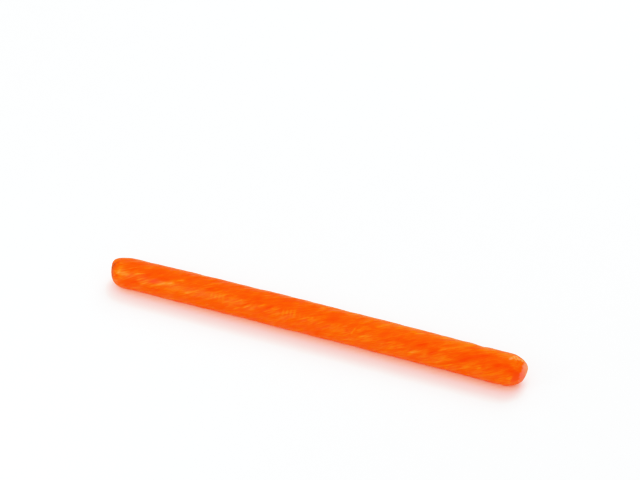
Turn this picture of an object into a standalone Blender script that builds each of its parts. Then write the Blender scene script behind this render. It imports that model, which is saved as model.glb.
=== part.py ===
"""A hard candy stick of one orange piece, 5 inches long, lying on its side along X.

The stick was rolled and twisted while it was soft. What the twist left is a left-handed helix of
shallow ridges round the stick, and both ends are cut a little askew and have soft, worn corners.
It lies on a narrow flat, with its origin under its middle. All sizes are in metres.
"""

import math
import random

import bmesh
import bpy
from mathutils import Vector

# Driving dimensions of the whole stick.
LENGTH = 0.1270
RADIUS = 0.00474
LEFT_END_RADIUS = 0.00462
TAPER_LENGTH = 0.062
BOW = 0.00036
FLAT_WIDTH = 0.0024

# The twist: one full turn takes this length of stick.
TWIST_PITCH = 0.0618
OVALITY = 0.00003

# Ridges: how many lie side by side round the stick, and how high each set stands.
RIDGE_SETS = ((4, 0.000040), (7, 0.000035), (11, 0.000030), (16, 0.000030))
RIDGE_FADE = 0.3
RIDGE_FADE_LENGTH = 0.019
RIDGE_SEED = 7

# A small nick in the far upper side: where it is, how deep, and its half sizes along and across.
NICK_X = 0.0491
NICK_ANGLE = math.radians(47)
NICK_DEPTH = 0.0003
NICK_HALF_LENGTH = 0.0019
NICK_HALF_WIDTH = 0.0016

# Each end: its side, the slant of its cut, the angle round the axis towards which the cut leans out
# or in, the depth of the rounding on that side and on the side across from it, the flat face as a
# share of the radius, and the two powers of the rounding.
LEFT_END = {
    "side": -1,
    "slant": 0.207,
    "lean_angle": math.radians(30),
    "far_depth": 0.0085,
    "near_depth": 0.0036,
    "face_share": 0.456,
    "round_power": 2.02,
    "depth_power": 2.16,
}
RIGHT_END = {
    "side": 1,
    "slant": 0.158,
    "lean_angle": math.radians(50),
    "far_depth": 0.00535,
    "near_depth": 0.00441,
    "face_share": 0.36,
    "round_power": 1.59,
    "depth_power": 1.63,
}
FACE_HOLLOW = 0.00012

# Fineness of the mesh, and the angle past which an edge stays sharp.
COLUMNS = 64
FACE_RINGS = 2
CORNER_RINGS = 8
BODY_RINGS = 64
SHARP_ANGLE = math.radians(40)

# The colour of the candy, as linear values.
CANDY_COLOUR = (0.956, 0.127, 0.004, 1.0)
CANDY_ROUGHNESS = 0.32


def clear_scene():
    """Remove what the scene holds."""
    for thing in list(bpy.data.objects):
        bpy.data.objects.remove(thing, do_unlink=True)


def smooth_step(share):
    """Ease from 0 to 1 as share goes from 0 to 1."""
    share = min(max(share, 0.0), 1.0)
    return share * share * (3 - 2 * share)


def core_radius(x):
    """The mean radius at x: the left end is a little thinner."""
    grown = smooth_step((x + LENGTH / 2) / TAPER_LENGTH)
    return LEFT_END_RADIUS + (RADIUS - LEFT_END_RADIUS) * grown


def ridge_phases():
    """A fixed random start for each set of ridges and for the way it fades along the stick."""
    draw = random.Random(RIDGE_SEED)
    return [(draw.uniform(0, 2 * math.pi), draw.uniform(0, 2 * math.pi)) for _ in RIDGE_SETS]


def nick(x, angle):
    """The depth of the nick here: a smooth dent that fades away in all directions."""
    across = RADIUS * math.remainder(angle - NICK_ANGLE, 2 * math.pi)
    away = ((x - NICK_X) / NICK_HALF_LENGTH) ** 2 + (across / NICK_HALF_WIDTH) ** 2
    return NICK_DEPTH * math.exp(-away)


def relief(x, angle, phases):
    """The height of the skin above the core at x, at this angle round the axis."""
    turned = angle + 2 * math.pi * x / TWIST_PITCH
    height = OVALITY * math.cos(2 * turned)
    for place, ((count, size), (start, fade)) in enumerate(zip(RIDGE_SETS, phases)):
        swell = math.sin(2 * math.pi * x / (RIDGE_FADE_LENGTH * (1 + place)) + fade)
        height += size * (1 + RIDGE_FADE * (swell - 1)) * math.cos(count * turned + start)
    return height - nick(x, angle)


def axis_height(x):
    """How high the axis lies, so that the flat under the stick keeps its width along the taper."""
    return math.sqrt(core_radius(x) ** 2 - (FLAT_WIDTH / 2) ** 2)


def bow_offset(x):
    """The sideways place of the axis: the middle of the stick bows towards +Y."""
    return BOW * (1 - (2 * x / LENGTH) ** 2)


def leaning(end, angle):
    """1 on the side towards which an end's cut leans and -1 across from it."""
    return math.cos(angle - end["lean_angle"])


def end_reach(end):
    """How far the middle of an end's cut lies from the middle of the stick."""
    return LENGTH / 2 - end["slant"] * end["face_share"] * core_radius(end["side"] * LENGTH / 2)


def end_point(end, radius_share, depth_share, angle):
    """The place along X of a point on an end, this share of the way out and down its rounding."""
    radius = core_radius(end["side"] * LENGTH / 2)
    mean_depth = (end["far_depth"] + end["near_depth"]) / 2
    lean_depth = (end["far_depth"] - end["near_depth"]) / 2
    depth = mean_depth + lean_depth * leaning(end, angle)
    slant = end["slant"] * radius_share * radius * leaning(end, angle)
    inside = max(0.0, 1 - radius_share / end["face_share"])
    return end["side"] * (end_reach(end) + slant - depth * depth_share - FACE_HOLLOW * inside)


def end_sections(end):
    """(radius share, depth share) of each ring of an end, from inside its face out to its rim."""
    face = end["face_share"]
    sections = [(face * (step + 1) / FACE_RINGS, 0.0) for step in range(FACE_RINGS)]
    for step in range(1, CORNER_RINGS + 1):
        turn = math.pi / 2 * step / CORNER_RINGS
        radius_share = face + (1 - face) * math.sin(turn) ** (2 / end["round_power"])
        depth_share = 1 - max(0.0, math.cos(turn)) ** (2 / end["depth_power"])
        sections.append((radius_share, depth_share))
    return sections


def surface_point(x, radius_share, angle, phases):
    """A point of the stick's skin, or of an end's face where radius_share is under 1."""
    radius = radius_share * (core_radius(x) + relief(x, angle, phases))
    height = axis_height(x) + radius * math.sin(angle)
    return Vector((x, bow_offset(x) + radius * math.cos(angle), max(height, 0.0)))


def column_angles(x):
    """The angles of a ring's points. They turn with the twist, so each column runs along a ridge."""
    start = -2 * math.pi * x / TWIST_PITCH
    return [start + 2 * math.pi * column / COLUMNS for column in range(COLUMNS)]


def end_rings(end, phases):
    """The rings of an end, from its face out to its rim."""
    mean_depth = (end["far_depth"] + end["near_depth"]) / 2
    rings = []
    for radius_share, depth_share in end_sections(end):
        middle = end["side"] * (end_reach(end) - mean_depth * depth_share)
        ring = []
        for angle in column_angles(middle):
            x = end_point(end, radius_share, depth_share, angle)
            ring.append(surface_point(x, radius_share, angle, phases))
        rings.append(ring)
    return rings


def body_rings(phases):
    """The rings between the two rims. They lean as the nearer rim leans."""
    left_middle = end_point(LEFT_END, 1.0, 1.0, LEFT_END["lean_angle"] + math.pi / 2)
    right_middle = end_point(RIGHT_END, 1.0, 1.0, RIGHT_END["lean_angle"] + math.pi / 2)
    rings = []
    for step in range(1, BODY_RINGS):
        share = step / BODY_RINGS
        ring = []
        for angle in column_angles(left_middle + (right_middle - left_middle) * share):
            left = end_point(LEFT_END, 1.0, 1.0, angle)
            right = end_point(RIGHT_END, 1.0, 1.0, angle)
            ring.append(surface_point(left + (right - left) * share, 1.0, angle, phases))
        rings.append(ring)
    return rings


def pole(end, phases):
    """The middle point of an end's face."""
    return surface_point(end_point(end, 0.0, 0.0, 0.0), 0.0, 0.0, phases)


def centred(poles, rings):
    """Move all points so that the origin is at the bottom centre of the stick's box."""
    points = poles + [point for ring in rings for point in ring]
    middle_x = (min(p.x for p in points) + max(p.x for p in points)) / 2
    middle_y = (min(p.y for p in points) + max(p.y for p in points)) / 2
    shift = Vector((middle_x, middle_y, 0.0))
    for point in points:
        point -= shift


def skin(poles, rings):
    """A closed mesh of quads between the rings, with a fan of triangles at each pole."""
    bm = bmesh.new()
    first, last = (bm.verts.new(point) for point in poles)
    loops = [[bm.verts.new(point) for point in ring] for ring in rings]
    for here in range(COLUMNS):
        beside = (here + 1) % COLUMNS
        bm.faces.new((first, loops[0][here], loops[0][beside]))
        bm.faces.new((last, loops[-1][beside], loops[-1][here]))
        for ring, after in zip(loops, loops[1:]):
            bm.faces.new((ring[here], after[here], after[beside], ring[beside]))
    bmesh.ops.recalc_face_normals(bm, faces=bm.faces)
    mesh = bpy.data.meshes.new("candy_stick")
    bm.to_mesh(mesh)
    bm.free()
    return mesh


def candy_material():
    """Glossy orange boiled sugar."""
    material = bpy.data.materials.new("orange_candy")
    material.use_nodes = True
    shader = material.node_tree.nodes["Principled BSDF"]
    shader.inputs["Base Color"].default_value = CANDY_COLOUR
    shader.inputs["Roughness"].default_value = CANDY_ROUGHNESS
    shader.inputs["Metallic"].default_value = 0.0
    return material


def candy_stick():
    """Build the stick as one solid object."""
    phases = ridge_phases()
    poles = [pole(LEFT_END, phases), pole(RIGHT_END, phases)]
    right_rings = end_rings(RIGHT_END, phases)
    right_rings.reverse()
    rings = end_rings(LEFT_END, phases) + body_rings(phases) + right_rings
    centred(poles, rings)
    mesh = skin(poles, rings)
    mesh.materials.append(candy_material())
    mesh.shade_smooth()
    mesh.set_sharp_from_angle(angle=SHARP_ANGLE)
    stick = bpy.data.objects.new("candy_stick", mesh)
    bpy.context.scene.collection.objects.link(stick)


clear_scene()
candy_stick()
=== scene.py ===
# A hard candy stick on a plain white table: the fine form and the finish of its sugar.
import math
import random

import bpy
import numpy as np
from mathutils import Matrix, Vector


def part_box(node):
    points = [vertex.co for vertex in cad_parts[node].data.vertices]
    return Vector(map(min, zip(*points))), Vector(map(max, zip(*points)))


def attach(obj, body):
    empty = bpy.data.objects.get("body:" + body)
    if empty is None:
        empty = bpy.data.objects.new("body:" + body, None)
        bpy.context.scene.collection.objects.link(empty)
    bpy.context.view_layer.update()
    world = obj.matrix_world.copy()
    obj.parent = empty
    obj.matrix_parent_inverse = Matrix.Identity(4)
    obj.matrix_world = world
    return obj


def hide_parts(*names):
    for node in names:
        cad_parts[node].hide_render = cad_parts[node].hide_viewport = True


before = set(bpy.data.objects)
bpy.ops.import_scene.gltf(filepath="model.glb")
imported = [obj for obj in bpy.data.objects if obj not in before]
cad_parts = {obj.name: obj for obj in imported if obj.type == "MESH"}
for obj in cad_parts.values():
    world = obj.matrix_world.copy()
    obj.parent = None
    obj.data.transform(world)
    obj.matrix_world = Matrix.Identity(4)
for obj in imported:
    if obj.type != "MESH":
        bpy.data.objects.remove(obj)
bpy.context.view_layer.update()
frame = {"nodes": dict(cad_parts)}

mm = 0.001

print("frame loaded:", ", ".join(frame["nodes"]))

# the stick's form: lengths are in mm, and x runs along the stick from its middle
stick = {
    "node": "candy_stick",
    "slot": "orange_candy",
    "length": 127.0,
    "radius": 4.74,
    "leftRadius": 4.62,
    "taperLength": 62.0,
    "bow": 0.36,
    "flatWidth": 2.4,
    "pitch": 61.8,            # one full left-handed turn of the twist
    "ovality": 0.03,
    "ridges": ((4, 0.040), (7, 0.035), (11, 0.030), (16, 0.030)),   # how many round, how high
    "ridgeSwell": 0.3,
    "ridgeSwellLength": 19.0,
    "ridgeSeed": 7,
    "nickPlace": (49.1, math.radians(47)),   # along the stick and round it, 90 degrees on top
    "nickDepth": 0.3,
    "nickHalfLength": 1.9,
    "nickHalfWidth": 1.6,
    "faceHollow": 0.12,
    "columns": 240,
    "bodyRows": 340,
    "cornerRows": 26,
    "faceRows": 12,
}

# each end: its side, the slant of its cut and the angle it leans to, how deep its rounding is there and
# across from there, its flat face as a share of the radius, and the two powers of the rounding
leftEnd = {"side": -1, "slant": 0.207, "leanAngle": math.radians(30), "farDepth": 8.5, "nearDepth": 3.6,
           "face": 0.456, "roundPower": 2.02, "depthPower": 2.16}
rightEnd = {"side": 1, "slant": 0.158, "leanAngle": math.radians(50), "farDepth": 5.35, "nearDepth": 4.41,
            "face": 0.36, "roundPower": 1.59, "depthPower": 1.63}


def smoothStep(value, start, end):
    # 0 before start and 1 after end; between them 3 * share ^ 2 - 2 * share ^ 3
    share = np.clip((value - start) / (end - start), 0, 1)
    return share * share * (3 - 2 * share)


def coreRadius(x):
    # leftRadius + (radius - leftRadius) * smooth step of the way along the taper
    leftTip = -stick["length"] / 2
    grown = smoothStep(x, leftTip, leftTip + stick["taperLength"])
    return stick["leftRadius"] + (stick["radius"] - stick["leftRadius"]) * grown


def turnedAngle(x, angle):
    # the angle round the stick before it was twisted: angle + a full turn for each pitch
    return angle + 2 * math.pi * x / stick["pitch"]


def angleBetween(angle, other):
    # the shorter way round from other to angle, from -pi to pi
    return (angle - other + math.pi) % (2 * math.pi) - math.pi


def nickDepth(x, angle):
    # depth * e ^ -(squares of the distances from its middle, in half lengths and half widths)
    along = (x - stick["nickPlace"][0]) / stick["nickHalfLength"]
    across = stick["radius"] * angleBetween(angle, stick["nickPlace"][1]) / stick["nickHalfWidth"]
    return stick["nickDepth"] * np.exp(-along ** 2 - across ** 2)


def ridgeRelief(x, turned):
    # a sum of cosines of whole counts round the stick, each set growing and fading along it
    draw = random.Random(stick["ridgeSeed"])
    phases = [(draw.uniform(0, 2 * math.pi), draw.uniform(0, 2 * math.pi)) for _ in stick["ridges"]]
    height = stick["ovality"] * np.cos(2 * turned)
    for place, ((count, size), (start, fade)) in enumerate(zip(stick["ridges"], phases)):
        swell = np.sin(2 * math.pi * x / (stick["ridgeSwellLength"] * (1 + place)) + fade)
        strength = 1 + stick["ridgeSwell"] * (swell - 1)
        height = height + size * strength * np.cos(count * turned + start)
    return height


def endReach(end):
    # half the length, less what the slant of the cut adds at the edge of its face
    halfLength = stick["length"] / 2
    return halfLength - end["slant"] * end["face"] * coreRadius(end["side"] * halfLength)


def endPlace(end, radiusShare, depthShare, angle):
    # x = side * (reach + slant * radius * lean - depth * depthShare - hollow inside the face)
    radius = coreRadius(end["side"] * stick["length"] / 2)
    lean = np.cos(angle - end["leanAngle"])
    depth = (end["farDepth"] + end["nearDepth"]) / 2 + (end["farDepth"] - end["nearDepth"]) / 2 * lean
    inside = np.maximum(0, 1 - radiusShare / end["face"])
    reach = endReach(end) + end["slant"] * radiusShare * radius * lean
    return end["side"] * (reach - depth * depthShare - stick["faceHollow"] * inside)


def endRows(end):
    # radius share and depth share of each row: even steps over the face, then a quarter turn of the
    # rounding, radius = face + (1 - face) * sine ^ (2 / roundPower), depth = 1 - cosine ^ (2 / depthPower)
    face = end["face"]
    turn = np.linspace(0, math.pi / 2, stick["cornerRows"] + 1)[1:]
    radiusShare = face + (1 - face) * np.sin(turn) ** (2 / end["roundPower"])
    depthShare = 1 - np.clip(np.cos(turn), 0, 1) ** (2 / end["depthPower"])
    faceShare = face * np.arange(1, stick["faceRows"] + 1) / stick["faceRows"]
    return np.concatenate([faceShare, radiusShare]), np.concatenate([0 * faceShare, depthShare])


def rowAngles(middles):
    # even steps round; each row starts further round by the twist, so a column runs along a ridge
    columns = np.arange(stick["columns"]) / stick["columns"]
    return 2 * math.pi * (columns[None, :] - middles[:, None] / stick["pitch"])


def endGrid(end):
    # x = endPlace at the shares of each row and the angle of each column, from the face out to the rim
    radiusShare, depthShare = endRows(end)
    meanDepth = (end["farDepth"] + end["nearDepth"]) / 2
    angle = rowAngles(end["side"] * (endReach(end) - meanDepth * depthShare))
    share = np.repeat(radiusShare[:, None], stick["columns"], axis=1)
    return endPlace(end, share, depthShare[:, None], angle), angle, share


def bodyGrid():
    # x = left rim + (right rim - left rim) * share of the way, at each angle
    along = np.linspace(0, 1, stick["bodyRows"] + 1)[1:-1]
    leftMiddle = endPlace(leftEnd, 1.0, 1.0, leftEnd["leanAngle"] + math.pi / 2)
    rightMiddle = endPlace(rightEnd, 1.0, 1.0, rightEnd["leanAngle"] + math.pi / 2)
    angle = rowAngles(leftMiddle + (rightMiddle - leftMiddle) * along)
    left = endPlace(leftEnd, 1.0, 1.0, angle)
    right = endPlace(rightEnd, 1.0, 1.0, angle)
    x = left + (right - left) * along[:, None]
    return x, angle, np.ones_like(x)


def stickGrid():
    # the rows of the left end, of the body and of the right end turned round, one after another
    rightRows = [rows[::-1] for rows in endGrid(rightEnd)]
    return [np.concatenate(rows) for rows in zip(endGrid(leftEnd), bodyGrid(), rightRows)]


def stickPoints(x, angle, share, streak):
    # a circle of radius share * (core + relief) round the bowed axis, cut off flat at the table
    relief = ridgeRelief(x, turnedAngle(x, angle)) - nickDepth(x, angle) + streaks["height"] * streak
    radius = share * (coreRadius(x) + relief)
    axisHeight = np.sqrt(coreRadius(x) ** 2 - (stick["flatWidth"] / 2) ** 2)
    axisSide = stick["bow"] * (1 - (2 * x / stick["length"]) ** 2)
    y = axisSide + radius * np.cos(angle)
    z = np.maximum(axisHeight + radius * np.sin(angle), 0)
    return np.stack([x, y, z], axis=-1)


def closedFaces(rows, columns):
    # quads between neighbouring rows and columns, and a fan of triangles round each pole
    here = np.arange(columns)
    beside = (here + 1) % columns
    row = np.arange(rows - 1)[:, None] * columns
    quads = np.stack([row + beside, row + columns + beside, row + columns + here, row + here], axis=-1)
    firstPole = np.full(columns, rows * columns)
    lastPole = firstPole + 1
    lastRow = (rows - 1) * columns
    firstFan = np.stack([beside, here, firstPole], axis=-1)
    lastFan = np.stack([lastRow + here, lastRow + beside, lastPole], axis=-1)
    return quads.reshape(-1, 4).tolist() + firstFan.tolist() + lastFan.tolist()


# the marks of pulling and rolling, with painted light among them: (place along the stick, degrees round
# it) of both tips of a streak, its half width in mm and how much lighter (+) or darker (-) it is; 90 degrees
# is the top, 135 the upper front, 180 the front. The light streaks on the upper front of the left half are
# partly the sugar's own and partly painted highlights, the light ones near the top of the right half are a
# painted reflection of the lamp behind, the dark band along the top of the left half is painted shade, and
# the long light bands along the front are a painted glow of light come through the candy
streaks = {
    "listedWithPaintedLight": (
        # the light ones from here, on the upper front of the left half, are partly the sugar's own streaks
        # and partly painted highlights
        ((-60.2, 141), (-56.8, 136), 0.90, 0.9), ((-60.4, 118), (-59.0, 114), 0.70, 0.6),
        ((-57.1, 137), (-53.5, 124), 0.50, 0.5), ((-55.2, 131), (-52.1, 121), 0.20, 1.0),
        ((-53.9, 150), (-51.3, 134), 0.18, 0.8), ((-53.3, 157), (-50.0, 138), 0.18, 0.7),
        ((-52.7, 162), (-49.7, 143), 0.22, 0.9), ((-50.5, 164), (-46.5, 145), 0.24, 1.0),
        ((-47.5, 148), (-42.3, 126), 0.40, 1.10), ((-42.3, 119), (-40.1, 108), 0.22, 0.9),
        ((-44.7, 152), (-37.7, 134), 1.20, 0.4), ((-39.2, 157), (-35.4, 134), 0.34, 1.2),
        ((-35.8, 143), (-26.3, 131), 1.20, 0.28), ((-28.4, 133), (-26.8, 126), 0.35, 0.3),
        ((-28.0, 156), (-23.0, 128), 0.70, 0.44), ((-23.6, 167), (-21.8, 156), 0.35, 0.6),
        ((-22.7, 134), (-21.1, 125), 0.16, 0.7), ((-22.5, 125), (-21.3, 134), 0.16, 0.6),
        ((-21.2, 158), (-18.6, 137), 0.30, 1.0), ((-19.0, 158), (-17.3, 138), 0.60, 0.5),
        ((-17.3, 137), (-14.5, 127), 0.36, 0.9), ((-12.9, 134), (-9.9, 125), 0.36, 0.55),
        ((-12.5, 154), (-9.9, 136), 0.90, 0.4), ((-1.2, 140), (0.1, 129), 0.45, 0.6),
        ((4.0, 171), (11.0, 139), 1.20, 0.4), ((12.1, 148), (13.0, 127), 0.40, 1.0),
        ((10.8, 134), (12.4, 150), 0.18, 0.6), ((13.4, 135), (17.2, 115), 0.50, 0.6),
        ((14.4, 153), (17.0, 142), 0.35, 0.8), ((15.0, 171), (18.4, 153), 0.50, 0.7),
        ((21.9, 179), (27.5, 149), 1.20, 0.35), ((29.5, 164), (33.3, 150), 0.40, 0.9),
        ((35.5, 172), (43.0, 145), 0.90, 0.35), ((45.3, 171), (50.2, 148), 1.00, 0.4),
        ((50.1, 159), (51.3, 150), 0.40, 0.9), ((53.8, 170), (57.5, 147), 0.45, 0.7),
        # from (0.3, 102) on, the light streaks near the top of the right half are a painted reflection of the
        # lamp behind
        ((59.2, 167), (62.0, 149), 0.50, 0.7), ((0.3, 102), (3.0, 72), 0.80, 0.5),
        ((19.7, 92), (23.5, 64), 0.70, 0.6), ((30.3, 94), (32.7, 76), 0.50, 0.5),
        ((39.2, 97), (41.4, 78), 0.50, 0.4), ((42.6, 103), (46.8, 72), 0.70, 0.25),
        ((2.0, 66), (64.0, 68), 1.40, 0.28), ((55.0, 84), (62.5, 84), 1.50, 0.4),
        # painted glow: the long light bands along the front, at 146 to 186 degrees, stand for light come
        # through the candy
        ((-61.4, 142), (-59.4, 134), 0.80, 0.9), ((6.0, 186), (62.0, 182), 1.40, 0.18),
        ((-57.0, 146), (62.0, 150), 1.10, 0.13), ((57.4, 180), (63.0, 177), 1.00, 0.2),
        # painted shade: the dark band at 97 degrees over the left half; painted reflection of the lamp
        # behind: the light bands at 78 to 88 degrees over the right half
        ((-50.0, 97), (24.0, 97), 1.30, -0.14), ((40.0, 78), (61.0, 78), 1.60, 0.15),
        ((6.0, 88), (60.0, 86), 1.60, 0.16), ((59.0, 137), (61.3, 134), 0.45, -0.9),
        ((58.6, 115), (62.3, 105), 0.90, 0.36), ((56.3, 176), (59.4, 164), 0.90, 0.38),
        ((-57.8, 177), (-53.2, 157), 1.20, -0.5), ((-51.7, 118), (-46.2, 92), 0.90, -0.5),
        ((-50.5, 147), (-47.5, 133), 0.45, -0.9), ((-47.3, 131), (-43.3, 109), 0.50, -0.55),
        ((-38.9, 120), (-32.2, 92), 0.90, 0.1), ((-38.9, 180), (-30.8, 160), 1.20, 0.05),
        ((-32.7, 122), (-30.7, 113), 0.35, -0.9), ((-21.4, 148), (-19.0, 130), 0.30, -0.8),
        ((-19.4, 126), (-16.5, 105), 0.50, -0.4), ((-16.1, 158), (-13.9, 135), 0.50, -0.5),
        ((-14.2, 137), (-12.2, 121), 0.42, -0.85), ((1.2, 185), (3.2, 168), 0.70, -0.5),
        ((3.0, 130), (7.8, 112), 0.60, -0.5), ((10.2, 147), (11.0, 141), 0.30, -0.55),
        ((20.7, 148), (24.1, 136), 0.40, -0.3), ((25.1, 134), (26.3, 126), 0.40, -0.5),
        ((23.9, 177), (27.7, 159), 0.25, -0.5), ((30.2, 186), (32.5, 179), 0.25, -0.6),
        ((31.3, 134), (34.7, 117), 0.55, -0.95), ((35.3, 149), (38.2, 129), 0.50, -0.7),
        ((38.6, 181), (46.6, 140), 0.36, -1.0), ((44.6, 143), (52.5, 101), 0.60, -0.9),
        ((50.0, 109), (55.0, 97), 0.50, -0.6), ((54.3, 133), (59.7, 118), 0.65, -0.8),
    ),
    "count": 420,              # how many random ones lie all round the stick
    "seed": 23,
    "halfLength": (0.9, 3.6),
    "halfWidth": (0.10, 0.36),
    "turn": (0.75, 1.2),       # how far they turn, as a share of the twist
    "lightness": 0.38,
    "height": 0.025,           # a fully light streak stands this proud, a dark one lies as deep
    "endShare": (0.7, 0.95),   # on an end they grow between these shares of the radius
}

# rows of short bars across the stick, where its skin is rippled; their lightness is painted highlight, the
# glints of light on the ripples: place of the first bar, step to the next, how many, half sizes along and
# across in mm, lightness
rippleGlintBars = (
    {"first": (-8.9, 133), "step": (1.10, -1), "count": 4, "halfSize": (0.30, 1.0), "lightness": 1.7},
    {"first": (-30.9, 138), "step": (1.20, -0.5), "count": 4, "halfSize": (0.34, 0.9), "lightness": 1.1},
    {"first": (-3.8, 135), "step": (1.25, -1), "count": 4, "halfSize": (0.32, 0.6), "lightness": 0.7},
)

# the pale crust on the far upper corner of the right end, in round spots: place along the stick, degrees
# round it, half width in mm, lighter (+) or darker (-)
flecks = (
    (58.6, 92, 0.36, 0.6), (59.0, 86, 0.32, 0.9), (59.6, 80, 0.30, 1.0), (60.2, 85, 0.24, 0.7),
    (60.5, 75, 0.32, 1.0), (61.1, 70, 0.30, 0.9), (61.6, 63, 0.34, 1.0), (62.2, 58, 0.36, 1.0),
    (60.9, 79, 0.24, 0.6), (61.8, 72, 0.26, 0.6), (59.3, 74, 0.34, 0.8), (60.0, 67, 0.34, 0.8),
    (59.3, 83, 0.15, -0.9), (59.9, 76, 0.16, -0.9), (60.7, 71, 0.15, -0.9), (61.3, 66, 0.15, -0.9),
    (60.9, 85, 0.17, -0.8), (61.5, 76, 0.16, -0.8), (62.3, 68, 0.18, -0.8), (61.9, 80, 0.16, -0.7),
)

# the cut ends, in shares of the radius and degrees round the stick. The pale face ends between the two
# pale shares, and is narrowed by so much towards some angles. Round it lies a rim, between the first two
# and the last two rim shares: deeper orange on the right end, and painted shade, a dark outline, on the
# left end. The rim fades with the cosine of the angle from its middle, and it leaves the face by
# rimSwing * (1 - cosine), at most rimSwingMost. The face turns pink towards pinkDegrees
cuts = {
    "right": {
        "side": 1,
        "paleShare": (0.66, 0.76),
        "narrowed": ((95, 0.06), (205, 0.15)),
        "rimDegrees": 156,
        "rimCosine": (0.84, 0.96),
        "rimShare": (0.63, 0.71, 0.84, 0.93),
        "rimSwing": 0.0,
        "rimSwingMost": 0.0,
        "pinkDegrees": 200,
        "pinkShare": (-0.35, 0.40),
    },
    "left": {
        "side": -1,
        "paleShare": (0.42, 0.54),
        "narrowed": (),
        "rimDegrees": 138,
        "rimCosine": (0.62, 0.80),
        "rimShare": (0.62, 0.67, 0.76, 0.80),
        "rimSwing": 0.35,
        "rimSwingMost": 0.10,
        "pinkDegrees": 215,
        "pinkShare": (0.05, 0.5),
    },
}

# the edges of face and rim wander: how many waves round, how far in shares of the radius, start
edgeWaves = ((3, 0.03, 1.0), (7, 0.02, 0.0), (17, 0.018, 2.0))


def streakValue(x, angle, tips, halfWidth, lightness):
    # lightness * e ^ -(fourth power of the place along it + square of the place across it)
    (startX, startAngle), (endX, endAngle) = tips
    halfLength = (endX - startX) / 2
    along = (x - (startX + endX) / 2) / halfLength
    lean = (endAngle - startAngle) / 2
    across = stick["radius"] * angleBetween(angle, (startAngle + endAngle) / 2 + lean * along) / halfWidth
    return lightness * np.exp(-along ** 4 - across ** 2)


def streakField(x, angle):
    # the sum of the listed streaks, some of them painted light, and of many random ones that turn more or
    # less as the twist does
    total = np.zeros_like(x)
    for start, end, halfWidth, lightness in streaks["listedWithPaintedLight"]:
        tips = [(place, math.radians(degrees)) for place, degrees in (start, end)]
        total += streakValue(x, angle, tips, halfWidth, lightness)
    draw = random.Random(streaks["seed"])
    for _ in range(streaks["count"]):
        middle = draw.uniform(-0.5, 0.5) * stick["length"]
        middleAngle = draw.uniform(0, 2 * math.pi)
        halfLength = draw.uniform(*streaks["halfLength"])
        lean = -2 * math.pi / stick["pitch"] * halfLength * draw.uniform(*streaks["turn"])
        tips = [(middle - halfLength, middleAngle - lean), (middle + halfLength, middleAngle + lean)]
        halfWidth = draw.uniform(*streaks["halfWidth"])
        total += streakValue(x, angle, tips, halfWidth, streaks["lightness"] * draw.uniform(-1, 1))
    return total


def rippleAndGlintField(x, angle):
    # the sum of the bars of painted highlight, each lightness * e ^ -(squares of the distances in half sizes)
    total = np.zeros_like(x)
    for row in rippleGlintBars:
        for place in range(row["count"]):
            along = (x - row["first"][0] - place * row["step"][0]) / row["halfSize"][0]
            degrees = row["first"][1] + place * row["step"][1]
            across = stick["radius"] * angleBetween(angle, math.radians(degrees)) / row["halfSize"][1]
            total += row["lightness"] * np.exp(-along ** 2 - across ** 2)
    return total


def fleckField(x, angle, share):
    # the sum of the spots, each lightness * e ^ -(square of the distance in half widths)
    total = np.zeros_like(x)
    for place, degrees, halfWidth, lightness in flecks:
        across = stick["radius"] * share * angleBetween(angle, math.radians(degrees))
        total += lightness * np.exp(-((x - place) ** 2 + across ** 2) / halfWidth ** 2)
    return total


def edgeWander(angle):
    # the sum of size * sine(count * angle + start)
    return sum(size * np.sin(count * angle + start) for count, size, start in edgeWaves)


def paleMark(cut, angle, share):
    # 1 on the face and 0 outside, by a smooth step over share + wander + narrowing * cosine ^ 2
    narrowing = sum(by * np.maximum(0, np.cos(angle - math.radians(towards))) ** 2
                    for towards, by in cut["narrowed"])
    return 1 - smoothStep(share + edgeWander(angle) + narrowing, *cut["paleShare"])


def rimMark(cut, angle, share):
    # the product of three smooth steps: near the rim's middle angle, past its inner edge and not past its
    # outer one
    towardsRim = np.cos(angle - math.radians(cut["rimDegrees"]))
    innerFrom, innerTo, outerFrom, outerTo = cut["rimShare"]
    swung = share - np.minimum(cut["rimSwing"] * (1 - towardsRim), cut["rimSwingMost"])
    pastInner = smoothStep(swung + edgeWander(angle), innerFrom, innerTo)
    return smoothStep(towardsRim, *cut["rimCosine"]) * pastInner * (1 - smoothStep(swung, outerFrom, outerTo))


def pinkMark(cut, angle, share):
    # a smooth step over share * cosine of the angle from the pink side
    return smoothStep(share * np.cos(angle - math.radians(cut["pinkDegrees"])), *cut["pinkShare"])


def stickMarks(x, angle, share, streak):
    # everything that the finish reads at a point of the mesh; untwisted is its place in mm before the
    # stick was twisted and bowed, and the rim is above 0 on the right end and below 0 on the left one,
    # where it is painted shade, a dark outline
    turned = turnedAngle(x, angle)
    radius = share * coreRadius(x)
    pale, rim, pink = np.zeros_like(x), np.zeros_like(x), np.zeros_like(x)
    for cut in cuts.values():
        onThisHalf = (np.sign(x) == cut["side"]) * 1.0
        pale += onThisHalf * paleMark(cut, angle, share)
        rim += onThisHalf * rimMark(cut, angle, share) * cut["side"]
        pink += onThisHalf * pinkMark(cut, angle, share)
    return {
        "untwisted": np.stack([x, radius * np.cos(turned), radius * np.sin(turned)], axis=-1),
        "streak": streak * smoothStep(share, *streaks["endShare"]),
        "pale": pale,
        "rim": rim,
        "pink": pink,
        "fleck": fleckField(x, angle, share),
        "rippleAndGlint": rippleAndGlintField(x, angle),
    }


def addMarks(mesh, marks):
    # each mark becomes an attribute of the mesh's points, one number or a vector of three for each
    for name, values in marks.items():
        isVector = values.ndim == 2
        layer = mesh.attributes.new(name, "FLOAT_VECTOR" if isVector else "FLOAT", "POINT")
        layer.data.foreach_set("vector" if isVector else "value", values.astype(np.float32).ravel())


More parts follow.
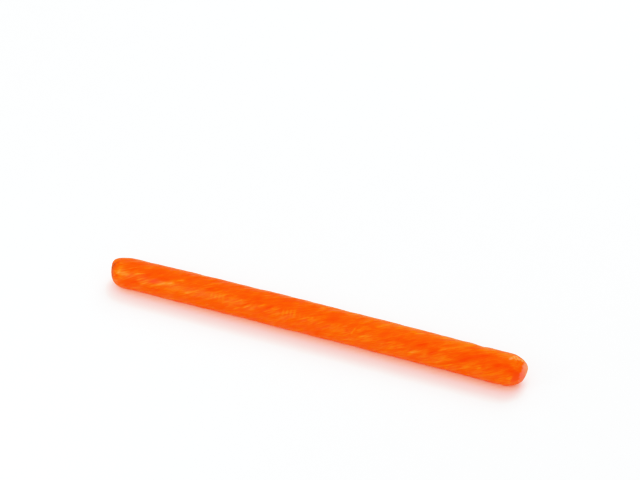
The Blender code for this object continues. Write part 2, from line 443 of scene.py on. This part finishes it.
def buildStick():
    # the grid of the skin and the two poles of its faces, moved so that its box lies where the frame's does
    x, angle, share = stickGrid()
    nothing = np.zeros(1)
    rows = [(x.ravel(), angle.ravel(), share.ravel(), streakField(x, angle).ravel())]
    for end in (leftEnd, rightEnd):
        rows.append((np.array([endPlace(end, 0.0, 0.0, 0.0)]), nothing, nothing, nothing))
    places = [np.concatenate(values) for values in zip(*rows)]
    points = stickPoints(*places) * mm
    low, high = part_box(stick["node"])
    middle = (points.min(0) + points.max(0)) / 2
    points[:, 0] += (low.x + high.x) / 2 - middle[0]
    points[:, 1] += (low.y + high.y) / 2 - middle[1]
    mesh = bpy.data.meshes.new("candyStick")
    mesh.from_pydata(points.tolist(), [], closedFaces(*x.shape))
    mesh.validate()
    mesh.shade_smooth()
    addMarks(mesh, stickMarks(*places))
    piece = bpy.data.objects.new("candyStick", mesh)
    bpy.context.scene.collection.objects.link(piece)
    return piece


candyStick = buildStick()
print("stick built:", len(candyStick.data.polygons), "faces")

sugar = {
    "darkColour": (0.94, 0.054, 0.0, 1.0),
    "colour": (0.96, 0.099, 0.002, 1.0),
    "lightColour": (0.975, 0.275, 0.012, 1.0),
    # painted highlight: the colour of the brightest streaks and ripple glints
    "glintColour": (0.975, 0.37, 0.12, 1.0),
    "cutColour": (0.93, 0.32, 0.31, 1.0),
    "cutPinkColour": (0.78, 0.155, 0.165, 1.0),
    "rimColour": (0.84, 0.062, 0.006, 1.0),
    # painted shade: the dark outline along the left end's rim
    "outlineShadeColour": (0.23, 0.066, 0.006, 1.0),
    "fleckColour": (0.96, 0.43, 0.19, 1.0),
    "speckColour": (0.35, 0.035, 0.005, 1.0),
    # the tone runs from 0, dark, through middleTone, the plain colour, to 1, light, and on to glintColour,
    # the peach of painted highlights
    "middleTone": 0.42,
    "glintTones": (0.85, 1.4),
    "toneWeights": {"streak": 0.43, "rippleAndGlint": 0.25, "fibres": 0.12, "clouds": 0.07, "fineFibres": 0.20},
    "fleckLimits": (0.05, 0.8),      # a fleck shows from the first and is full at the second
    "speckLimits": (-0.05, -0.6),
    "cutPatchiness": 0.75,           # where its grain is thinnest, the pale face still covers this much
    "pinkPatchiness": 0.25,
    "roughness": (0.17, 0.28),       # on the smoothest and the dullest parts of the skin
    "cutRoughness": 0.6,
    "throughWeight": 1.0,            # all of its colour is light that has wandered inside it
    "throughLengths": (1.0, 0.33, 0.05),    # how far red, green and blue get, times the scale
    "throughScale": 0.015,           # m
    "throughForward": 0.0,
    "gloss": 0.18,                   # 0.5 is ordinary
    "skinWeight": 0.5,               # a thin clear skin, seen through more of it where it turns away
    "skinColour": (0.93, 0.86, 0.60, 1.0),
    "skinIndex": 1.0,                # as air's, so it adds no gloss of its own
    "skinRoughness": 0.25,
    # each pattern: its size in mm along, across and through the stick, its detail and its coarseness
    "patterns": {
        "fibres": ((3.6, 0.55, 0.55), 3.0, 0.6),
        "fineFibres": ((2.2, 0.32, 0.32), 2.0, 0.5),
        "clouds": ((6.0, 2.0, 2.0), 1.0, 0.5),
        "grain": ((0.16, 0.16, 0.16), 2.0, 0.5),
        "crystals": ((0.3, 0.3, 0.3), 3.0, 0.6),
    },
    "heights": {"fibres": 0.18, "fineFibres": 0.03, "grain": 0.004, "rippleAndGlint": 0.03, "clouds": 0.15,
                "cutCrystals": 0.05},   # mm
}

# the noise of a pattern runs from 0 to 1, and nearly all of it lies between these
patternRange = (0.3, 0.7)


def addNode(tree, kind, settings=None, sockets=None):
    # a node with its settings; each socket, by name or number, is linked to an output or set to a value
    node = tree.nodes.new(kind)
    for name, value in (settings or {}).items():
        setattr(node, name, value)
    for name, value in (sockets or {}).items():
        if isinstance(value, bpy.types.NodeSocket):
            tree.links.new(value, node.inputs[name])
        else:
            node.inputs[name].default_value = value
    return node


def markValue(tree, name, output="Fac"):
    # the number that the mesh carries under this name, or its "Vector"
    return addNode(tree, "ShaderNodeAttribute", {"attribute_name": name}).outputs[output]


def product(tree, first, second):
    # first * second
    return addNode(tree, "ShaderNodeMath", {"operation": "MULTIPLY"}, {0: first, 1: second}).outputs[0]


def larger(tree, first, second):
    # first or second, whichever is larger
    return addNode(tree, "ShaderNodeMath", {"operation": "MAXIMUM"}, {0: first, 1: second}).outputs[0]


def weightedSum(tree, start, terms):
    # start + value * weight for each of the terms
    total = start
    for value, weight in terms:
        total = addNode(tree, "ShaderNodeMath", {"operation": "MULTIPLY_ADD"},
                        {0: value, 1: weight, 2: total}).outputs[0]
    return total


def between(tree, value, low, high, toLow=0.0, toHigh=1.0):
    # toLow up to low, toHigh from high on, and a straight line between them
    return addNode(tree, "ShaderNodeMapRange", {"clamp": True},
                   {0: value, 1: low, 2: high, 3: toLow, 4: toHigh}).outputs[0]


def swing(tree, noise):
    # a pattern's noise spread over -1 to 1
    return between(tree, noise, *patternRange, -1.0, 1.0)


def mixColour(tree, share, first, second):
    # first * (1 - share) + second * share, in the mix node's sockets for colours
    return addNode(tree, "ShaderNodeMix", {"data_type": "RGBA"},
                   {0: share, 6: first, 7: second}).outputs[2]


def objectPlace(tree):
    # the place on the piece in mm: object coordinates / mm
    place = addNode(tree, "ShaderNodeTexCoord").outputs["Object"]
    return addNode(tree, "ShaderNodeVectorMath", {"operation": "SCALE"},
                   {0: place, "Scale": 1 / mm}).outputs[0]


def buildPatternGroup():
    # smooth noise of place / size, so that one feature is about as large as the size, in mm
    group = bpy.data.node_groups.new("sizedPattern", "ShaderNodeTree")
    inputs = {"Place": "Vector", "Size": "Vector", "Detail": "Float", "Coarseness": "Float"}
    for name, kind in inputs.items():
        group.interface.new_socket(name, in_out="INPUT", socket_type="NodeSocket" + kind)
    group.interface.new_socket("Value", in_out="OUTPUT", socket_type="NodeSocketFloat")
    given = addNode(group, "NodeGroupInput").outputs
    scaled = addNode(group, "ShaderNodeVectorMath", {"operation": "DIVIDE"},
                     {0: given["Place"], 1: given["Size"]}).outputs[0]
    noise = addNode(group, "ShaderNodeTexNoise", None,
                    {"Vector": scaled, "Scale": 1.0, "Detail": given["Detail"],
                     "Roughness": given["Coarseness"]}).outputs["Fac"]
    addNode(group, "NodeGroupOutput", None, {"Value": noise})
    return group


patternGroup = buildPatternGroup()


def pattern(tree, place, size, detail, coarseness):
    # the pattern group with a material's own values
    values = {"Place": place, "Size": size, "Detail": detail, "Coarseness": coarseness}
    return addNode(tree, "ShaderNodeGroup", {"node_tree": patternGroup}, values).outputs["Value"]


def sugarParts(tree):
    # the outputs that the sugar's colour, roughness and height are made of, by name
    parts = {name: markValue(tree, name) for name in ("streak", "pale", "rim", "pink", "fleck", "rippleAndGlint")}
    untwisted = markValue(tree, "untwisted", "Vector")
    for name, values in sugar["patterns"].items():
        place = objectPlace(tree) if name == "crystals" else untwisted
        parts[name] = pattern(tree, place, *values)
    parts["cutCrystals"] = product(tree, parts["crystals"], parts["pale"])
    return parts


def skinColour(tree, parts):
    # dark, plain, light and painted highlight by the tone, and over that the rims, the left one a painted
    # dark outline, flecks and specks
    weights = sugar["toneWeights"]
    terms = [(parts[name], weights[name]) for name in ("streak", "rippleAndGlint")]
    terms += [(swing(tree, parts[name]), weights[name]) for name in ("fibres", "clouds", "fineFibres")]
    middle = sugar["middleTone"]
    tone = weightedSum(tree, middle, terms)
    darker = mixColour(tree, between(tree, tone, 0.0, middle), sugar["darkColour"], sugar["colour"])
    skin = mixColour(tree, between(tree, tone, middle, 1.0), darker, sugar["lightColour"])
    # the brightest tones take the painted highlight colour
    skin = mixColour(tree, between(tree, tone, *sugar["glintTones"]), skin, sugar["glintColour"])
    skin = mixColour(tree, between(tree, parts["rim"], 0.0, 1.0), skin, sugar["rimColour"])
    # painted shade: the left end's rim is darkened to an outline
    skin = mixColour(tree, between(tree, parts["rim"], 0.0, -1.0), skin, sugar["outlineShadeColour"])
    skin = mixColour(tree, between(tree, parts["fleck"], *sugar["fleckLimits"]), skin, sugar["fleckColour"])
    return mixColour(tree, between(tree, parts["fleck"], *sugar["speckLimits"]), skin, sugar["speckColour"])


def cutColour(tree, parts):
    # from pale to pink by the pink mark, which is patchy along the fibres
    pinkness = weightedSum(tree, parts["pink"], [(swing(tree, parts["fibres"]), sugar["pinkPatchiness"])])
    return mixColour(tree, between(tree, pinkness, 0.0, 1.0), sugar["cutColour"], sugar["cutPinkColour"])


def sugarMaterial():
    # the skin's colour, with the cut's over it as far as pale * grain says; roughness from the fibres and
    # the cut; height = the sum of each part * its height
    material = bpy.data.materials.new("orangeSugar")
    material.use_nodes = True
    tree = material.node_tree
    shader = tree.nodes["Principled BSDF"]
    parts = sugarParts(tree)
    cover = between(tree, parts["grain"], *patternRange, sugar["cutPatchiness"], 1.0)
    cover = product(tree, parts["pale"], cover)
    colour = mixColour(tree, cover, skinColour(tree, parts), cutColour(tree, parts))
    skinRoughness = between(tree, parts["fibres"], *patternRange, *sugar["roughness"])
    roughness = between(tree, parts["pale"], 0.0, 1.0, skinRoughness, sugar["cutRoughness"])
    height = weightedSum(tree, 0.0, [(parts[name], tall) for name, tall in sugar["heights"].items()])
    bump = addNode(tree, "ShaderNodeBump", None, {"Strength": 1.0, "Distance": mm, "Height": height})
    tree.links.new(colour, shader.inputs["Base Color"])
    tree.links.new(roughness, shader.inputs["Roughness"])
    tree.links.new(bump.outputs["Normal"], shader.inputs["Normal"])
    shader.inputs["Subsurface Weight"].default_value = sugar["throughWeight"]
    shader.inputs["Subsurface Radius"].default_value = sugar["throughLengths"]
    shader.inputs["Subsurface Scale"].default_value = sugar["throughScale"]
    shader.inputs["Subsurface Anisotropy"].default_value = sugar["throughForward"]
    shader.inputs["Specular IOR Level"].default_value = sugar["gloss"]
    shader.inputs["Coat Weight"].default_value = sugar["skinWeight"]
    shader.inputs["Coat Tint"].default_value = sugar["skinColour"]
    shader.inputs["Coat IOR"].default_value = sugar["skinIndex"]
    shader.inputs["Coat Roughness"].default_value = sugar["skinRoughness"]
    return material


candyStick.data.materials.append(sugarMaterial())
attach(candyStick, "root")
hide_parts(stick["node"])
print("sugar made")

# a smooth white sheet with a faint mottle; its size and drop are in m, its patterns as the sugar's are
table = {
    "size": 1.5,
    "drop": 0.00005,               # it lies this little lower than the stick's underside
    "colours": ((0.925, 0.925, 0.925, 1.0), (0.935, 0.935, 0.935, 1.0)),
    "roughness": (0.55, 0.65),
    "gloss": 0.0,                  # quite matt
    "mottle": ((8.0, 8.0, 8.0), 2.0, 0.5),
    "grain": ((0.4, 0.4, 0.4), 1.0, 0.5),
    "grainHeight": 0.002,          # mm
}


def tableMaterial():
    # colour from the mottle, roughness from the grain, height = grain * grainHeight
    material = bpy.data.materials.new("whiteTable")
    material.use_nodes = True
    tree = material.node_tree
    shader = tree.nodes["Principled BSDF"]
    place = objectPlace(tree)
    mottle = pattern(tree, place, *table["mottle"])
    grain = pattern(tree, place, *table["grain"])
    colour = mixColour(tree, between(tree, mottle, *patternRange), *table["colours"])
    height = product(tree, grain, table["grainHeight"])
    bump = addNode(tree, "ShaderNodeBump", None, {"Strength": 1.0, "Distance": mm, "Height": height})
    tree.links.new(colour, shader.inputs["Base Color"])
    tree.links.new(between(tree, grain, *patternRange, *table["roughness"]), shader.inputs["Roughness"])
    tree.links.new(bump.outputs["Normal"], shader.inputs["Normal"])
    shader.inputs["Specular IOR Level"].default_value = table["gloss"]
    return material


def buildTable():
    # a square from -size / 2 to size / 2 both ways, just below the stick
    half = table["size"] / 2
    corners = [(-half, -half), (half, -half), (half, half), (-half, half)]
    mesh = bpy.data.meshes.new("table")
    mesh.from_pydata([(x, y, -table["drop"]) for x, y in corners], [], [(0, 1, 2, 3)])
    mesh.materials.append(tableMaterial())
    piece = bpy.data.objects.new("table", mesh)
    bpy.context.scene.collection.objects.link(piece)
    return piece


buildTable()
print("table laid")

# each lamp: azimuth and elevation of where it hangs, distance and size in m, power, and whether the
# stick mirrors it
lamps = {
    "boxBehind": {"azimuth": 172, "elevation": 47, "distance": 0.8, "size": 0.60, "watts": 2.65,
                  "mirrored": False},
    "boxFrontLeft": {"azimuth": -41, "elevation": 33, "distance": 0.26, "size": 0.08, "watts": 0.11,
                     "mirrored": True},
}

# the sky's strength, and what the camera sees of it; low down behind the stick it is dimmed to a share,
# more and more between these two values of Y, behind, and of Z, up, in the unit vector towards it
sky = {
    "strength": 0.98,
    "seenStrength": 1.2,
    "dimmedShare": 0.15,
    "behind": (0.0, 0.5),
    "low": (0.5, 0.15),
}

worldUp = np.array([0.0, 0.0, 1.0])


def direction(azimuth, elevation):
    # (sin a * cos e, -cos a * cos e, sin e): azimuth 0 is the near side, -Y, and it grows towards +X
    a = math.radians(azimuth)
    e = math.radians(elevation)
    return np.array([math.sin(a) * math.cos(e), -math.cos(a) * math.cos(e), math.sin(e)])


def lookingMatrix(place, forward):
    # columns: right = forward x up, upright = right x forward, backward, and the place
    right = np.cross(forward, worldUp)
    right = right / np.linalg.norm(right)
    matrix = np.eye(4)
    matrix[:3, 0] = right
    matrix[:3, 1] = np.cross(right, forward)
    matrix[:3, 2] = -forward
    matrix[:3, 3] = place
    return Matrix([list(row) for row in matrix])


def buildLamps():
    # each lamp is a disk at direction * distance that faces the origin
    for name, lamp in lamps.items():
        light = bpy.data.lights.new(name, "AREA")
        light.shape = "DISK"
        light.size = lamp["size"]
        light.energy = lamp["watts"]
        towards = direction(lamp["azimuth"], lamp["elevation"])
        holder = bpy.data.objects.new(name, light)
        holder.matrix_world = lookingMatrix(towards * lamp["distance"], -towards)
        holder.visible_glossy = lamp["mirrored"]
        bpy.context.scene.collection.objects.link(holder)


def buildSky():
    # strength * (1 - (1 - dimmedShare) * behind * low), and an even white where the camera sees it
    world = bpy.data.worlds.new("softSky")
    bpy.context.scene.world = world
    world.use_nodes = True
    tree = world.node_tree
    vector = addNode(tree, "ShaderNodeTexCoord").outputs["Generated"]
    towards = addNode(tree, "ShaderNodeSeparateXYZ", None, {0: vector}).outputs
    behind = between(tree, towards["Y"], *sky["behind"])
    low = between(tree, towards["Z"], *sky["low"])
    dimming = between(tree, product(tree, behind, low), 0.0, 1.0, 1.0, sky["dimmedShare"])
    seen = addNode(tree, "ShaderNodeLightPath").outputs["Is Camera Ray"]
    strength = product(tree, dimming, sky["strength"])
    strength = larger(tree, strength, product(tree, seen, sky["seenStrength"]))
    background = tree.nodes["Background"]
    background.inputs["Color"].default_value = (1, 1, 1, 1)
    tree.links.new(strength, background.inputs["Strength"])


buildLamps()
buildSky()
print("lamps and sky made")

# the picture's size and the place in it of the stick's middle are in pixels, the distance is in m, and
# the lens and its sensor are in mm
view = {
    "azimuth": 19.9,
    "elevation": 45.0,
    "distance": 0.995,
    "lens": 194.06,
    "sensor": 36.0,
    "pictureWidth": 640,
    "pictureHeight": 480,
    "stickPixel": (315.9, 320.0),
}


def aimedAside(forward):
    # forward - right * aside + up * below, where aside and below are the tangents that put the stick's
    # middle at stickPixel
    right = np.cross(forward, worldUp)
    right = right / np.linalg.norm(right)
    up = np.cross(right, forward)
    focal = view["lens"] / view["sensor"] * view["pictureWidth"]
    aside = (view["stickPixel"][0] - view["pictureWidth"] / 2) / focal
    below = (view["stickPixel"][1] - view["pictureHeight"] / 2) / focal
    aim = forward - right * aside + up * below
    return aim / np.linalg.norm(aim)


def buildCamera():
    # it stands at the stick's middle + direction * distance
    low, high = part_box(stick["node"])
    middle = np.array((low + high) / 2)
    towards = direction(view["azimuth"], view["elevation"])
    lens = bpy.data.cameras.new("camera")
    lens.lens = view["lens"]
    lens.sensor_width = view["sensor"]
    camera = bpy.data.objects.new("camera", lens)
    camera.matrix_world = lookingMatrix(middle + towards * view["distance"], aimedAside(-towards))
    bpy.context.scene.collection.objects.link(camera)
    bpy.context.scene.camera = camera


# how the camera's film answers: highlights roll off softly, and the last trace of blue is lost
film = {
    "all": ((0.0, 0.0), (0.80, 0.80), (0.95, 0.935), (1.08, 0.975), (1.22, 1.0)),
    "red": ((0.0, 0.0), (0.3, 0.42), (0.45, 0.73), (0.58, 0.88), (0.78, 0.935), (0.87, 0.95),
            (0.96, 0.97), (1.0, 1.0)),
    "blue": ((0.0, 0.0), (0.0125, 0.0), (0.10, 0.07), (0.2, 0.13), (0.35, 0.27), (0.45, 0.385),
             (0.6, 0.59), (1.0, 1.0)),
    "brightest": 2.0,              # the curves run on past white up to here
    "places": {"all": 3, "red": 0, "blue": 2},   # of the curves in Blender's curve mapping
}


def setCurve(curve, points):
    # straight lines from point to point; a new curve has its first and last point already
    curve.points[0].location = points[0]
    curve.points[1].location = points[-1]
    for place in points[1:-1]:
        curve.points.new(*place)
    for point in curve.points:
        point.handle_type = "VECTOR"


def setFilm():
    # output = the curve for all three colours of the value, then the curve for red or blue
    settings = bpy.context.scene.view_settings
    settings.view_transform = "Standard"
    settings.use_curve_mapping = True
    mapping = settings.curve_mapping
    mapping.clip_max_x = film["brightest"]
    for name, place in film["places"].items():
        setCurve(mapping.curves[place], film[name])
    mapping.update()


buildCamera()
setFilm()
print("camera placed")
